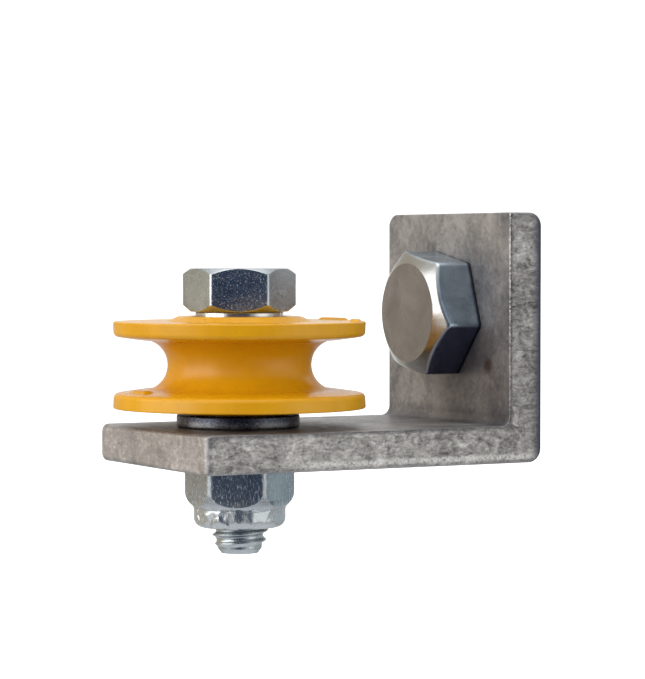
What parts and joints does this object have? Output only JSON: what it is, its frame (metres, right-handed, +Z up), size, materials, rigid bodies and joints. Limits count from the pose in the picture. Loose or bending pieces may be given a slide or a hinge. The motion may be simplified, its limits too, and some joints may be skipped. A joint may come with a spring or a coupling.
{
  "type": "sliding door roller",
  "caption": "Grooved guide roller on a bush and a bolted vertical axle, carried by an angle bracket with a mounting bolt.",
  "frame": {"origin": "centre of the mounting hole at the bracket's outer face", "axes": "+X out of the mounting face towards the door, +Z up along the wheel's axle, +Y across the bracket's width, along the rail"},
  "size_m": [0.0726, 0.04, 0.0539],
  "materials": {
    "bracket_steel": "hot-rolled and galvanised, mottled, matte",
    "wheel_nylon": "moulded yellow nylon, satin",
    "bush_steel": "turned, bright",
    "washer_steel": "dark, stamped",
    "axle_zinc": "bright zinc plated",
    "nut_zinc": "bright zinc plated",
    "insert_nylon": "natural nylon, satin",
    "bolt_zinc": "bright zinc plated"
  },
  "bodies": {
    "bracket": {"angle_bracket": "bracket_steel", "axle_bolt": "axle_zinc", "bearing_bush": "bush_steel", "flat_washer": "washer_steel", "lock_nut": "nut_zinc", "lock_nut_insert": "insert_nylon"},
    "wheel": {"roller_wheel": "wheel_nylon"},
    "bolt": {"mounting_bolt": "bolt_zinc"}
  },
  "joints": [
    {"name": "wheel_spin", "type": "hinge", "parent": "bracket", "child": "wheel", "pos_m": [-0.0446, 0, -0.0079], "axis": [0, 0, 1], "continuous": true},
    {"name": "bolt_turn", "type": "hinge", "parent": "bracket", "child": "bolt", "pos_m": [0, 0, 0], "axis": [1, 0, 0], "continuous": true}
  ]
}
